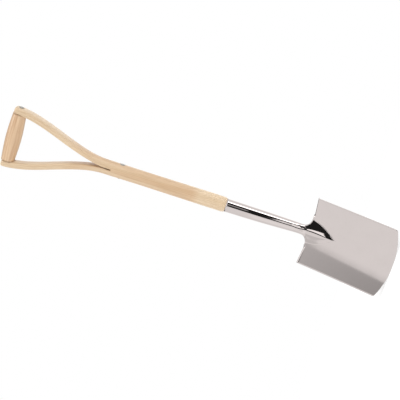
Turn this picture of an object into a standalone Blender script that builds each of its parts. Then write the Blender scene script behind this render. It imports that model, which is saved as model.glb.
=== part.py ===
"""Digging spade with a split ash handle and a pressed stainless head.

Metres, +Z up the shaft, the front of the blade faces -Y. The origin is where a peg
would bear when the spade hangs by its grip: the middle of the grip's underside.
"""
import math

import bmesh
import bpy
import numpy as np
from mathutils import Matrix

MM = 0.001

# Grip: a turned barrel across the top of the handle
GRIP_MID_RADIUS = 21.0 * MM
GRIP_END_RADIUS = 17.8 * MM
GRIP_BORE_RADIUS = 3.5 * MM
GRIP_SEAT_X = 65.5 * MM
GRIP_END_CHAMFER = 1.2 * MM
GRIP_STUB = 5.0 * MM
GRIP_Z = GRIP_MID_RADIUS

# Heights along the shaft, from the grip down to the blade
MOUTH_Z = GRIP_Z - 577.5 * MM
KERF_Z = MOUTH_Z + 320.0 * MM
THROAT_Z = MOUTH_Z + 286.0 * MM
ARM_TOP_Z = GRIP_Z + 14.5 * MM
TAIL_Z = MOUTH_Z - 172.0 * MM
BLADE_TOP_Z = MOUTH_Z - 226.0 * MM

# Shaft: radii at heights above the socket mouth, and the split arms
SHAFT_HEIGHTS = np.array([0.0, 3.0, 9.0, 60.0, 140.0, 220.0, 300.0, 330.0]) * MM
SHAFT_RADII = np.array([18.1, 19.3, 20.0, 20.0, 19.6, 19.2, 19.6, 19.7]) * MM
KERF_HALF = 1.1 * MM
ARM_BEND_START = KERF_Z + 9.0 * MM
ARM_BEND_LENGTH = 261.0 * MM
ARM_SPREAD = 62.7 * MM
ARM_HALF_THICKNESS = 9.2 * MM
ARM_HALF_DEPTH = 17.0 * MM
ARM_END_HALF_DEPTH = 19.0 * MM
ARM_ROUNDING_LENGTH = 120.0 * MM
ARM_SQUARENESS = 3.2
ARM_OUTER_WRAP = 0.56 * math.pi
ARM_INNER_WRAP = 0.40 * math.pi
ARM_END_ROUND = 7.5 * MM
ARM_END_SHRINK = 0.45
KERF_RUN_UP = 40.0 * MM

# Socket and blade, pressed from one sheet
SHEET = 2.2 * MM
SOCKET_HEIGHTS = np.array([0.0, -25.0, -55.0, -115.0, -175.0, -230.0]) * MM
SOCKET_RADII = np.array([18.0, 17.7, 17.4, 16.4, 14.7, 13.6]) * MM
SOCKET_SETBACK = 4.0 * MM
SOCKET_STRAIGHT = 50.0 * MM
LIFT = math.radians(17.0)
BLADE_SETBACK = 6.0 * MM
BLADE_LENGTH = 235.0 * MM
BLADE_TOP_HALF = 92.4 * MM
BLADE_EDGE_HALF = 94.7 * MM
EDGE_SAG = 17.5 * MM
EDGE_CORNER = 6.0 * MM
CORNER_DROP = 1.0 * MM
DISH = 3.2 * MM
BOW = 1.6 * MM
GROUND_EDGE = 9.0 * MM
SHOULDER_FILLET = 20.0 * MM
SHOULDER_RISE = math.tan(math.radians(6.2))
NECK_HALF = 14.2 * MM
BACK_SLOT = 48.0 * MM
FROG_HEIGHT = 15.0 * MM
FROG_HALF = 33.0 * MM
FROG_LENGTH = 71.0 * MM
FROG_POWER = 1.8
FROG_POINT_ROUND = 0.08
FROG_SHOULDER_ROUND = 0.34
KNEE_LEAST = 9.0 * MM
KNEE_MOST = 0.75
TREAD_BEND = 4.0 * MM
TREAD_LEDGE = 6.5 * MM
TREAD_ANGLE = math.pi / 2 - LIFT
TREAD_FADE = 16.0 * MM
TREAD_START = 0.22
FILLET_X = NECK_HALF + SHOULDER_FILLET
FILLET_CENTER = 4.0 * MM
TREAD_CENTER = 52.0 * MM
NECK_BLEND = 0.35
GROUND_THICKNESS = 0.35

# Fastenings
ROD_RADIUS = 3.0 * MM
ROD_HEAD_RADIUS = 4.8 * MM
ROD_HEAD_HEIGHT = 1.9 * MM
WASHER_RADIUS = 6.6 * MM
WASHER_THICKNESS = 1.2 * MM
WASHER_EDGE = 0.3 * MM
SPOT_FACE_RADIUS = 7.2 * MM
SPOT_FACE_REACH = 9.0 * MM
BORE_REACH = 100.0 * MM
GRIP_WASHER_X = 81.0 * MM
THROAT_WASHER_X = 17.1 * MM
SOCKET_RIVET_Z = MOUTH_Z - 42.0 * MM
SOCKET_RIVET_RADIUS = 2.4 * MM
SOCKET_RIVET_HEAD = 4.8 * MM
SOCKET_RIVET_LENGTH = 24.0 * MM
SOCKET_RIVET_POINT = 3.0 * MM
SOCKET_BORE_END = -8.0 * MM
SOCKET_BORE_START = 40.0 * MM
SOCKET_WALL_FRONT = 5.0 * MM
GAP = 0.3 * MM

# Mesh density
ARC_COLUMNS = 13
FLAT_COLUMNS = 5
TAIL_ROWS = 8
ARM_ROWS = 25
END_ROWS = 6
FROG_COLUMNS = 6
WING_COLUMNS = 8
TREAD_BEND_STEPS = 3
SOCKET_ROWS = 12
SLOT_ROWS = 7
FILLET_ROWS = 7
TREAD_ROWS = 10
SIDE_ROWS = 14
FIRST_TREAD_ROW = SOCKET_ROWS + SLOT_ROWS + FILLET_ROWS
ROUND_STEPS = 24
GRIP_STEPS = 40
GRIP_ROWS = 13
DOME_STEPS = 4


def remove_all_objects():
    for item in list(bpy.data.objects):
        bpy.data.objects.remove(item, do_unlink=True)


def new_collection(name, hidden=False):
    collection = bpy.data.collections.new(name)
    bpy.context.scene.collection.children.link(collection)
    collection.hide_render = hidden
    return collection


def new_material(name, color, roughness, metallic):
    material = bpy.data.materials.new(name)
    material.use_nodes = True
    shader = material.node_tree.nodes["Principled BSDF"]
    shader.inputs["Base Color"].default_value = (*color, 1.0)
    shader.inputs["Roughness"].default_value = roughness
    shader.inputs["Metallic"].default_value = metallic
    return material


def new_object(name, mesh, material, collection):
    item = bpy.data.objects.new(name, mesh)
    collection.objects.link(item)
    if material:
        mesh.materials.append(material)
    return item


def mesh_from_bmesh(name, bm, smooth_angle=35.0):
    mesh = bpy.data.meshes.new(name)
    bm.to_mesh(mesh)
    bm.free()
    mesh.shade_smooth()
    mesh.set_sharp_from_angle(angle=math.radians(smooth_angle))
    return mesh


def smoothstep(value):
    t = min(max(value, 0.0), 1.0)
    return t * t * (3.0 - 2.0 * t)


def add_mirror(item):
    """Join a half that is open at x = 0 to its mirror image."""
    mirror = item.modifiers.new("mirror", "MIRROR")
    mirror.use_axis = (True, False, False)
    mirror.merge_threshold = 0.0001
    mirror.use_clip = True


def add_screw(item, steps, axis="Z"):
    """Turn an outline round an axis."""
    screw = item.modifiers.new("turn", "SCREW")
    screw.axis = axis
    screw.steps = steps
    screw.render_steps = steps
    screw.use_merge_vertices = True
    screw.merge_threshold = 0.0001


def cut(item, cutter):
    """Take the cutter's volume out of the item."""
    boolean = item.modifiers.new("cut_" + cutter.name, "BOOLEAN")
    boolean.operation = "DIFFERENCE"
    boolean.object = cutter


def cylinder_cutter(name, radius, start, end, collection, steps=ROUND_STEPS):
    """A cylinder between two points on a line along X or Y, with a flat lowermost."""
    start, end = np.array(start), np.array(end)
    length = float(np.linalg.norm(end - start))
    bm = bmesh.new()
    bmesh.ops.create_cone(bm, cap_ends=True, segments=steps, radius1=radius, radius2=radius,
                          depth=length, matrix=Matrix.Rotation(math.pi / steps, 4, "Z"))
    cutter = new_object(name, mesh_from_bmesh(name, bm), None, collection)
    cutter.location = (start + end) / 2
    along_x = abs(end[0] - start[0]) > abs(end[1] - start[1])
    cutter.rotation_euler = (0.0, math.pi / 2, 0.0) if along_x else (math.pi / 2, 0.0, 0.0)
    cutter.display_type = "WIRE"
    cutter.hide_render = True
    return cutter


# Shaft

def shaft_radius(z):
    return float(np.interp(z - MOUTH_Z, SHAFT_HEIGHTS, SHAFT_RADII))


def socket_radius(z):
    """Outer radius of the tapered socket at a height."""
    return float(np.interp(z - MOUTH_Z, SOCKET_HEIGHTS[::-1], SOCKET_RADII[::-1]))


def socket_center(z):
    """How far the socket's centre line has swept back at a height."""
    run = BLADE_TOP_Z - (MOUTH_Z - SOCKET_STRAIGHT)
    return SOCKET_SETBACK * smoothstep((z - (MOUTH_Z - SOCKET_STRAIGHT)) / run)


def arm_center(z):
    """Distance of an arm's middle from the shaft's axis: one S-bend."""
    sawn_center = (shaft_radius(KERF_Z) + KERF_HALF) / 2
    return sawn_center + ARM_SPREAD * smoothstep((z - ARM_BEND_START) / ARM_BEND_LENGTH)


def arm_section(z, shrink):
    """Loop round one arm: the round outer side from front to back, then the sawn side."""
    radius = shaft_radius(z)
    kerf_angle = math.acos(KERF_HALF / radius)
    center = arm_center(z)
    rounding = smoothstep((z - KERF_Z) / ARM_ROUNDING_LENGTH)
    end_blend = smoothstep((z - KERF_Z) / (ARM_TOP_Z - KERF_Z))
    depth = ARM_HALF_DEPTH + (ARM_END_HALF_DEPTH - ARM_HALF_DEPTH) * end_blend
    outer = np.linspace(-1.0, 1.0, ARC_COLUMNS)
    inner = np.linspace(1.0, -1.0, FLAT_COLUMNS + 2)[1:-1]
    shift = center - (radius + KERF_HALF) / 2
    half_disc = [(radius * math.cos(t * kerf_angle) + shift, radius * math.sin(t * kerf_angle))
                 for t in outer]
    half_disc += [(KERF_HALF + shift, radius * math.sin(kerf_angle) * t) for t in inner]
    angles = [t * ARM_OUTER_WRAP for t in outer] + [math.pi - t * ARM_INNER_WRAP for t in inner]
    power = 2.0 / ARM_SQUARENESS
    loop = []
    for (x_disc, y_disc), angle in zip(half_disc, angles):
        cosine, sine = math.cos(angle), math.sin(angle)
        x_round = center + math.copysign(ARM_HALF_THICKNESS * abs(cosine) ** power, cosine)
        y_round = math.copysign(depth * abs(sine) ** power, sine)
        x = x_disc + (x_round - x_disc) * rounding
        y = y_disc + (y_round - y_disc) * rounding
        loop.append((center + (x - center) * shrink, y * shrink, z))
    return loop


def shaft_mesh():
    """Half of the shaft from the tail in the socket to the end of one arm."""
    bm = bmesh.new()
    shoulder_z = MOUTH_Z + GAP
    tail = np.linspace(TAIL_Z, shoulder_z, TAIL_ROWS)
    above = [shoulder_z + height for height in SHAFT_HEIGHTS[:-2]]
    solid_rows = []
    for z in tail:
        solid_rows.append((z, socket_radius(z) - SHEET - GAP, socket_center(z)))
    for z in above:
        solid_rows.append((z, shaft_radius(z - GAP), 0.0))
    for z in (KERF_Z - KERF_RUN_UP, KERF_Z):
        solid_rows.append((z, shaft_radius(z), 0.0))

    previous = None
    for z, radius, y_center in solid_rows:
        kerf_angle = math.acos(KERF_HALF / radius)
        arc = [t * kerf_angle for t in np.linspace(-1.0, 1.0, ARC_COLUMNS)]
        row = [bm.verts.new((radius * math.cos(angle), y_center + radius * math.sin(angle), z))
               for angle in [-math.pi / 2] + arc + [math.pi / 2]]
        row[0].co.x = 0.0
        row[-1].co.x = 0.0
        if previous:
            bridge(bm, previous, row)
        else:
            bm.faces.new(row)
        previous = row

    # the saw kerf's floor, from the plane of symmetry to the sawn faces
    kerf_loop = previous[1:-1]
    sawn_y = [point[1] for point in arm_section(KERF_Z, 1.0)[ARC_COLUMNS:]]
    floor_mid = [bm.verts.new((0.0, y, KERF_Z)) for y in sawn_y]
    floor_edge = [bm.verts.new((KERF_HALF, y, KERF_Z)) for y in sawn_y]
    middle_line = [previous[-1]] + floor_mid + [previous[0]]
    sawn_line = [kerf_loop[-1]] + floor_edge + [kerf_loop[0]]
    bridge(bm, middle_line, sawn_line)

    # the arm, a closed loop that follows the bend
    previous = kerf_loop + floor_edge
    rows = [(z, 1.0) for z in np.linspace(KERF_Z, ARM_TOP_Z - ARM_END_ROUND, ARM_ROWS)[1:]]
    for angle in np.linspace(0.0, math.pi / 2, END_ROWS)[1:-1]:
        height = ARM_TOP_Z - ARM_END_ROUND * (1.0 - math.sin(angle))
        rows.append((height, 1.0 - ARM_END_SHRINK * (1.0 - math.cos(angle))))
    for z, shrink in rows:
        row = [bm.verts.new(point) for point in arm_section(z, shrink)]
        bridge(bm, previous, row, closed=True)
        previous = row
    top = bm.verts.new((arm_center(ARM_TOP_Z), 0.0, ARM_TOP_Z))
    for first, second in zip(previous, previous[1:] + previous[:1]):
        bm.faces.new((first, second, top))
    bmesh.ops.recalc_face_normals(bm, faces=bm.faces)
    return mesh_from_bmesh("shaft", bm, 50.0)


def bridge(bm, lower, upper, closed=False):
    """Quads between two rows of equal length."""
    count = len(lower) if closed else len(lower) - 1
    for index in range(count):
        following = (index + 1) % len(lower)
        bm.faces.new((lower[index], lower[following], upper[following], upper[index]))


# Head: socket, frog, blade and treads from one sheet

def blade_point(x, along, out):
    """A point given across the blade, down it from its top line, and out of its front."""
    y = BLADE_SETBACK - along * math.sin(LIFT) - out * math.cos(LIFT)
    z = BLADE_TOP_Z - along * math.cos(LIFT) + out * math.sin(LIFT)
    return (x, y, z)


def frog_half(along):
    """Half-width of the frog's foot: full at the shoulders, nothing at its point."""
    fraction = min(max(along / FROG_LENGTH, 0.0), 1.0)
    return FROG_HALF * (1.0 - fraction ** FROG_POWER)


def dish(x):
    return DISH * (x / BLADE_TOP_HALF) ** 2


def sheet_height(x, along):
    """Height of the front face: dished across, bowed along, with the frog standing out."""
    base = dish(x)
    run = min(max(along / BLADE_LENGTH, 0.0), 1.0)
    base -= BOW * 4.0 * run * (1.0 - run)
    half = frog_half(along)
    if half <= abs(x):
        return base
    rise = 1.0 - along / FROG_LENGTH
    roundness = FROG_POINT_ROUND + (FROG_SHOULDER_ROUND - FROG_POINT_ROUND) * min(max(rise, 0.0), 1.0)
    fall = math.hypot(x / half, roundness) - roundness
    fall /= math.hypot(1.0, roundness) - roundness
    return base + FROG_HEIGHT * rise * (1.0 - fall)


def side_half(along):
    run = min(max(along / BLADE_LENGTH, 0.0), 1.0)
    return BLADE_TOP_HALF + (BLADE_EDGE_HALF - BLADE_TOP_HALF) * run


def tread_bend(edge_x):
    """The turned-over edge's profile, as (up, back) steps: slight at its start, then full."""
    fade = TREAD_START + (1.0 - TREAD_START) * smoothstep((edge_x - FILLET_X) / TREAD_FADE)
    angles = [TREAD_ANGLE * fade * step / TREAD_BEND_STEPS for step in range(1, TREAD_BEND_STEPS + 1)]
    profile = [(TREAD_BEND * math.sin(a), TREAD_BEND * (1.0 - math.cos(a))) for a in angles]
    up, back = profile[-1]
    up += TREAD_LEDGE * fade * math.cos(angles[-1])
    back += TREAD_LEDGE * fade * math.sin(angles[-1])
    return profile + [(up, back)]


def head_rows():
    """Rows of the half sheet: (centre distance down, edge x, edge distance down, wrap angle, blend)."""
    rows = []
    slot_start = -BACK_SLOT
    socket_top = BLADE_TOP_Z - MOUTH_Z
    for t in np.linspace(0.0, 1.0, SOCKET_ROWS):
        rows.append((socket_top + (slot_start - socket_top) * t, 0.0, 0.0, math.pi, 0.0))
    for t in np.linspace(0.0, 1.0, SLOT_ROWS + 1)[1:]:
        along = slot_start + (BACK_SLOT - SHOULDER_FILLET) * t
        rows.append((along, NECK_HALF, along, math.pi * (1.0 - t ** 0.8 / 2), NECK_BLEND * smoothstep(t)))
    for t in np.linspace(0.0, 1.0, FILLET_ROWS + 1)[1:]:
        turn = t * math.pi / 2
        along = -SHOULDER_FILLET * (1.0 - math.sin(turn))
        edge_x = NECK_HALF + SHOULDER_FILLET * (1.0 - math.cos(turn))
        center = -SHOULDER_FILLET + (FILLET_CENTER + SHOULDER_FILLET) * t
        rows.append((center, edge_x, along, math.pi / 2, NECK_BLEND + (1.0 - NECK_BLEND) * smoothstep(t)))
    for t in np.linspace(0.0, 1.0, TREAD_ROWS + 1)[1:]:
        edge_x = FILLET_X + (BLADE_TOP_HALF - FILLET_X) * t
        level = dish(edge_x) * math.tan(LIFT)
        along = tread_bend(edge_x)[-1][0] + level - SHOULDER_RISE * (edge_x - FILLET_X)
        rows.append((FILLET_CENTER + (TREAD_CENTER - FILLET_CENTER) * t, edge_x, along, None, 1.0))
    last_center = rows[-1][0]
    last_edge = rows[-1][2]
    edge_end = BLADE_LENGTH - EDGE_SAG
    for t in np.linspace(0.0, 1.0, SIDE_ROWS + 1)[1:]:
        center = last_center + (BLADE_LENGTH - GROUND_EDGE - last_center) * t
        along = last_edge + (edge_end - EDGE_CORNER - last_edge) * t
        rows.append((center, side_half(along), along, None, 1.0))
    for turn in (math.pi / 4, math.pi / 2):
        edge_x = side_half(edge_end) - EDGE_CORNER * (1.0 - math.cos(turn))
        along = edge_end - EDGE_CORNER + (EDGE_CORNER + CORNER_DROP) * math.sin(turn)
        rows.append((BLADE_LENGTH - GROUND_EDGE * (1.0 - math.sin(turn)), edge_x, along, None, 1.0))
    return rows


def head_row_points(row):
    """Points from the centre line out to the sheet's edge."""
    center, edge_x, edge_along, wrap, blend = row
    columns = FROG_COLUMNS + WING_COLUMNS
    points = []
    z_row = BLADE_TOP_Z - center
    radius = socket_radius(z_row)
    y_center = socket_center(z_row)
    knee_x = min(max(frog_half(center), KNEE_LEAST), KNEE_MOST * edge_x)
    for column in range(columns + 1):
        if column <= FROG_COLUMNS:
            x = knee_x * column / FROG_COLUMNS
            along = center
        else:
            reach = (column - FROG_COLUMNS) / WING_COLUMNS
            x = knee_x + (edge_x - knee_x) * reach
            drop = reach ** 2 if wrap is None else 1.0 - (1.0 - reach) ** 2
            along = center + (edge_along - center) * drop
        sheet = np.array(blade_point(x, along, sheet_height(x, along)))
        if wrap is None:
            points.append(sheet)
            continue
        angle = wrap * column / columns
        tube = np.array((radius * math.sin(angle), y_center - radius * math.cos(angle), z_row))
        point = tube + (sheet - tube) * blend
        if wrap == math.pi and column == columns:
            point[0] = 0.0
        points.append(point)
    points[0][0] = 0.0
    return points


def tread_points(edge_x, edge_along):
    """The turned-over top edge, bent back from the wing to a level ledge."""
    out = sheet_height(edge_x, edge_along)
    return [blade_point(edge_x, edge_along - up, out - back) for up, back in tread_bend(edge_x)]


def head_mesh():
    """Half of the head's front face, open at the plane of symmetry."""
    bm = bmesh.new()
    thickness = bm.verts.layers.deform.new()
    rows = head_rows()
    grid = [[bm.verts.new(point) for point in head_row_points(row)] for row in rows]
    for upper, lower in zip(grid, grid[1:]):
        bridge(bm, lower, upper)
    previous = None
    for index in range(FIRST_TREAD_ROW, FIRST_TREAD_ROW + TREAD_ROWS):
        edge = grid[index][-1]
        strip = [edge] + [bm.verts.new(point) for point in tread_points(rows[index][1], rows[index][2])]
        if previous is None:
            anchor = grid[index - 1][-1]
            for inner, outer in zip(strip, strip[1:]):
                bm.faces.new((anchor, inner, outer))
        else:
            bridge(bm, strip, previous)
        previous = strip
    bmesh.ops.triangulate(bm, faces=bm.faces, quad_method="SHORT_EDGE")
    for vert in bm.verts:
        vert[thickness][0] = 1.0
    for vert in grid[-1]:
        vert[thickness][0] = GROUND_THICKNESS
    return mesh_from_bmesh("head", bm, 40.0)


# Pieces

def make_shaft(material, parts, cutters):
    item = new_object("shaft", shaft_mesh(), material, parts)
    add_mirror(item)
    seat = cylinder_cutter("grip_seat_cutter", GRIP_END_RADIUS + GAP,
                           (-GRIP_SEAT_X, 0.0, GRIP_Z), (GRIP_SEAT_X, 0.0, GRIP_Z), cutters, GRIP_STEPS)
    cut(item, seat)
    for name, height in (("grip_bore_cutter", GRIP_Z), ("throat_bore_cutter", THROAT_Z)):
        cut(item, cylinder_cutter(name, ROD_RADIUS + GAP, (-BORE_REACH, 0.0, height),
                                  (BORE_REACH, 0.0, height), cutters))
    for label, side in (("left", -1.0), ("right", 1.0)):
        for place, x, height in (("grip", GRIP_WASHER_X, GRIP_Z), ("throat", THROAT_WASHER_X, THROAT_Z)):
            name = place + "_spot_face_" + label
            cut(item, cylinder_cutter(name, SPOT_FACE_RADIUS, (side * x, 0.0, height),
                                      (side * (x + SPOT_FACE_REACH), 0.0, height), cutters))
    return item


def make_grip(material, parts):
    """A barrel turned about X, bored for the rod."""
    end_x = GRIP_SEAT_X - GAP
    xs = np.linspace(-end_x + GRIP_END_CHAMFER, end_x - GRIP_END_CHAMFER, GRIP_ROWS)
    outline = [(-end_x, GRIP_END_RADIUS - GRIP_END_CHAMFER)]
    for x in xs:
        reach = min(abs(x) / (end_x - GRIP_STUB), 1.0)
        swell = (GRIP_MID_RADIUS - GRIP_END_RADIUS) * math.cos(reach * math.pi / 2)
        outline.append((x, GRIP_END_RADIUS + swell))
    outline.append((end_x, GRIP_END_RADIUS - GRIP_END_CHAMFER))
    outline += [(end_x, GRIP_BORE_RADIUS), (-end_x, GRIP_BORE_RADIUS)]
    return turned_about_x("grip", outline, GRIP_STEPS, material, parts, GRIP_Z, closed=True)


def turned_about_x(name, outline, steps, material, parts, height, closed=False):
    """Turn an outline of (x, radius) points about the X axis at a height.

    The outline's outer side is given from low x to high x, and is turned the other way
    round, so that the faces point outwards.
    """
    bm = bmesh.new()
    verts = [bm.verts.new((x, 0.0, radius)) for x, radius in reversed(outline)]
    for first, second in zip(verts, verts[1:]):
        bm.edges.new((first, second))
    if closed:
        bm.edges.new((verts[-1], verts[0]))
    item = new_object(name, mesh_from_bmesh(name, bm), material, parts)
    item.location = (0.0, 0.0, height)
    add_screw(item, steps, "X")
    return item


def rivet_outline(half_length, radius, head_radius, head_height):
    """Half outline of a shank with a domed head closed over at each end."""
    dome = []
    for angle in np.linspace(0.0, math.pi / 2, DOME_STEPS + 1):
        dome.append((half_length + head_height * math.cos(angle), head_radius * math.sin(angle)))
    right = dome + [(half_length, radius)]
    left = [(-x, r) for x, r in right]
    return left + right[::-1]


def make_through_rivet(name, seat_x, height, material, parts):
    half_length = seat_x + WASHER_THICKNESS + 2 * GAP
    outline = rivet_outline(half_length, ROD_RADIUS, ROD_HEAD_RADIUS, ROD_HEAD_HEIGHT)
    return turned_about_x(name, outline, ROUND_STEPS, material, parts, height)


def make_washer(name, side, seat_x, height, material, parts):
    near = seat_x + GAP
    far = near + WASHER_THICKNESS
    outline = [(side * near, ROD_RADIUS + GAP), (side * near, WASHER_RADIUS),
               (side * (far - WASHER_EDGE), WASHER_RADIUS), (side * far, WASHER_RADIUS - WASHER_EDGE),
               (side * far, ROD_RADIUS + GAP)]
    if side < 0.0:
        outline.reverse()
    return turned_about_x(name, outline, ROUND_STEPS, material, parts, height, closed=True)


def make_head(material, parts, cutters):
    item = new_object("blade_head", head_mesh(), material, parts)
    item.vertex_groups.new(name="thickness")
    add_mirror(item)
    solid = item.modifiers.new("sheet", "SOLIDIFY")
    solid.thickness = SHEET
    solid.offset = -1.0
    solid.use_quality_normals = True
    solid.vertex_group = "thickness"
    hole = cylinder_cutter("socket_hole_cutter", SOCKET_RIVET_RADIUS + GAP,
                           (0.0, SOCKET_WALL_FRONT, SOCKET_RIVET_Z),
                           (0.0, SOCKET_BORE_START, SOCKET_RIVET_Z), cutters)
    cut(item, hole)
    return item


def make_socket_rivet(material, parts):
    """A domed rivet driven into the shaft through the back of the socket."""
    surface = socket_radius(SOCKET_RIVET_Z) + socket_center(SOCKET_RIVET_Z) + GAP
    outline = [(surface - SOCKET_RIVET_LENGTH, 0.0),
               (surface - SOCKET_RIVET_LENGTH + SOCKET_RIVET_POINT, SOCKET_RIVET_RADIUS),
               (surface, SOCKET_RIVET_RADIUS)]
    for angle in np.linspace(0.0, math.pi / 2, DOME_STEPS + 1):
        outline.append((surface + ROD_HEAD_HEIGHT * math.sin(angle), SOCKET_RIVET_HEAD * math.cos(angle)))
    bm = bmesh.new()
    verts = [bm.verts.new((radius, y, 0.0)) for y, radius in reversed(outline)]
    for first, second in zip(verts, verts[1:]):
        bm.edges.new((first, second))
    item = new_object("socket_rivet", mesh_from_bmesh("socket_rivet", bm), material, parts)
    item.location = (0.0, 0.0, SOCKET_RIVET_Z)
    add_screw(item, ROUND_STEPS, "Y")
    return item


def main():
    remove_all_objects()
    parts = new_collection("digging_spade")
    cutters = new_collection("cutters", hidden=True)
    ash = new_material("ash_shaft", (0.78, 0.56, 0.34), 0.5, 0.0)
    grip_wood = new_material("ash_grip", (0.72, 0.47, 0.26), 0.45, 0.0)
    steel = new_material("polished_stainless", (0.72, 0.69, 0.67), 0.12, 1.0)
    rivet_steel = new_material("rivet_steel", (0.42, 0.40, 0.37), 0.35, 1.0)

    shaft = make_shaft(ash, parts, cutters)
    make_grip(grip_wood, parts)
    make_head(steel, parts, cutters)
    make_through_rivet("grip_rod", GRIP_WASHER_X, GRIP_Z, rivet_steel, parts)
    make_through_rivet("throat_rivet", THROAT_WASHER_X, THROAT_Z, rivet_steel, parts)
    for label, side in (("left", -1.0), ("right", 1.0)):
        make_washer("grip_washer_" + label, side, GRIP_WASHER_X, GRIP_Z, rivet_steel, parts)
        make_washer("throat_washer_" + label, side, THROAT_WASHER_X, THROAT_Z, rivet_steel, parts)
    make_socket_rivet(rivet_steel, parts)
    blind = cylinder_cutter("socket_blind_cutter", SOCKET_RIVET_RADIUS + GAP,
                            (0.0, SOCKET_BORE_END, SOCKET_RIVET_Z),
                            (0.0, SOCKET_BORE_START, SOCKET_RIVET_Z), cutters)
    cut(shaft, blind)


main()
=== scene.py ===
"""Digging spade: a split ash handle with a turned cross grip, and a pressed stainless head.

Metres, +Z up the shaft, the front of the blade faces -Y. The origin is where a wall peg
bears under the grip. The pieces are surfaces worked out with numpy, each a function of two
parameters on a grid, and each function says its formula in words.
"""
import math

import bmesh
import bpy
import numpy as np
from mathutils import Matrix, Vector


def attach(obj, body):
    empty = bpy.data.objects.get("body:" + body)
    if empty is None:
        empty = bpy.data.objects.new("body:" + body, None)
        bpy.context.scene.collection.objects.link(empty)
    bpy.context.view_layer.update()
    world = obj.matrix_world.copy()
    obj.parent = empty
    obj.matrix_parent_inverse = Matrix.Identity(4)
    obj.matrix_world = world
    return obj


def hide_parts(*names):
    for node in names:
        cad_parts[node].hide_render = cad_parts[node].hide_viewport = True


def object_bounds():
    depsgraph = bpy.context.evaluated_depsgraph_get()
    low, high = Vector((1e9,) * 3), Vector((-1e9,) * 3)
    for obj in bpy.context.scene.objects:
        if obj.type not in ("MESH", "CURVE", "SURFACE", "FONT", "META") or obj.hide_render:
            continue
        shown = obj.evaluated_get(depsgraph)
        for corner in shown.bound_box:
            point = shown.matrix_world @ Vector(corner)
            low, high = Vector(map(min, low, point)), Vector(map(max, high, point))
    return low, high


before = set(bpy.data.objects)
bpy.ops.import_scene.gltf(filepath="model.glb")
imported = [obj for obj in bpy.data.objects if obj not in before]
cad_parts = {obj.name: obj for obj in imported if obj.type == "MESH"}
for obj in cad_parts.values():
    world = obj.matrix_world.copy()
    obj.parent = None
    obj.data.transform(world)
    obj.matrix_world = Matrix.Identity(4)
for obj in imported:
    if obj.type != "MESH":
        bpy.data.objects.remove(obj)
FRAME_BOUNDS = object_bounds()

bl_info = {
    "name": "Digging Spade",
    "version": (1, 0, 0),
    "blender": (4, 5, 0),
    "location": "3D View > Sidebar > Spade",
    "description": "Builds a digging spade with a split ash handle and a pressed stainless head",
    "category": "Add Mesh",
}

MM = 0.001

# Grip and heights along the shaft
GRIP_MID_RADIUS = 21.0 * MM
GRIP_END_RADIUS = 17.8 * MM
GRIP_BORE_RADIUS = 3.5 * MM
GRIP_SEAT_X = 65.5 * MM
GRIP_END_CHAMFER = 1.2 * MM
GRIP_STUB = 5.0 * MM
GRIP_Z = GRIP_MID_RADIUS
MOUTH_Z = GRIP_Z - 577.5 * MM
KERF_Z = MOUTH_Z + 312.5 * MM
THROAT_Z = MOUTH_Z + 286.0 * MM
ARM_TOP_Z = GRIP_Z + 14.5 * MM
TAIL_Z = MOUTH_Z - 172.0 * MM
BLADE_TOP_Z = MOUTH_Z - 226.0 * MM

# Shaft and arms
SHOULDER_RADIUS = 18.1 * MM
SHOULDER_HEIGHT = 9.0 * MM
SHAFT_HEIGHTS = np.array([0.0, 60.0, 140.0, 220.0, 300.0, 330.0]) * MM
SHAFT_RADII = np.array([20.0, 20.0, 19.6, 19.2, 19.6, 19.7]) * MM
KERF_HALF = 1.1 * MM
ARM_BEND_START = KERF_Z + 16.5 * MM
ARM_BEND_LENGTH = 261.0 * MM
ARM_SPREAD = 62.7 * MM
ARM_HALF_THICKNESS = 9.2 * MM
ARM_HALF_DEPTH = 17.0 * MM
ARM_END_HALF_DEPTH = 19.0 * MM
ARM_ROUNDING_LENGTH = 120.0 * MM
ARM_SQUARENESS = 3.2
ARM_OUTER_WRAP = 0.56 * math.pi
ARM_INNER_WRAP = 0.40 * math.pi
ARM_END_ROUND = 7.5 * MM
ARM_END_SHRINK = 0.45
ARM_END_RINGS = (0.6, 0.25, 0.0)

# Socket and blade
SHEET = 2.2 * MM
SOCKET_TAPER = (14.831, -25.381, 9.726, -3.577, 18.001)
SOCKET_TAPER_LENGTH = 230.0 * MM
SOCKET_SETBACK = 4.0 * MM
SOCKET_STRAIGHT = 50.0 * MM
LIFT = math.radians(17.0)
BLADE_SETBACK = 6.0 * MM
BLADE_LENGTH = 235.0 * MM
BLADE_TOP_HALF = 92.4 * MM
BLADE_EDGE_HALF = 94.7 * MM
EDGE_SAG = 17.5 * MM
EDGE_CORNER = 6.0 * MM
CORNER_DROP = 1.0 * MM
DISH = 3.2 * MM
BOW = 1.6 * MM
GROUND_EDGE = 9.0 * MM
GROUND_THICKNESS = 0.35
SHOULDER_FILLET = 20.0 * MM
SHOULDER_RISE = math.tan(math.radians(6.2))
NECK_HALF = 14.2 * MM
NECK_BLEND = 0.35
BACK_SLOT = 48.0 * MM
SLOT_POWER = 0.8
FROG_HEIGHT = 15.0 * MM
FROG_HALF = 33.0 * MM
FROG_LENGTH = 71.0 * MM
FROG_POWER = 1.8
FROG_POINT_ROUND = 0.08
FROG_SHOULDER_ROUND = 0.34
FROG_SWELL = 0.35
KNEE_LEAST = 9.0 * MM
KNEE_MOST = 0.92
TREAD_BEND = 4.0 * MM
TREAD_LEDGE = 6.5 * MM
TREAD_ANGLE = math.pi / 2 - LIFT
TREAD_FADE = 16.0 * MM
TREAD_CENTER = 52.0 * MM
FILLET_X = NECK_HALF + SHOULDER_FILLET
FILLET_CENTER = 4.0 * MM

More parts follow.
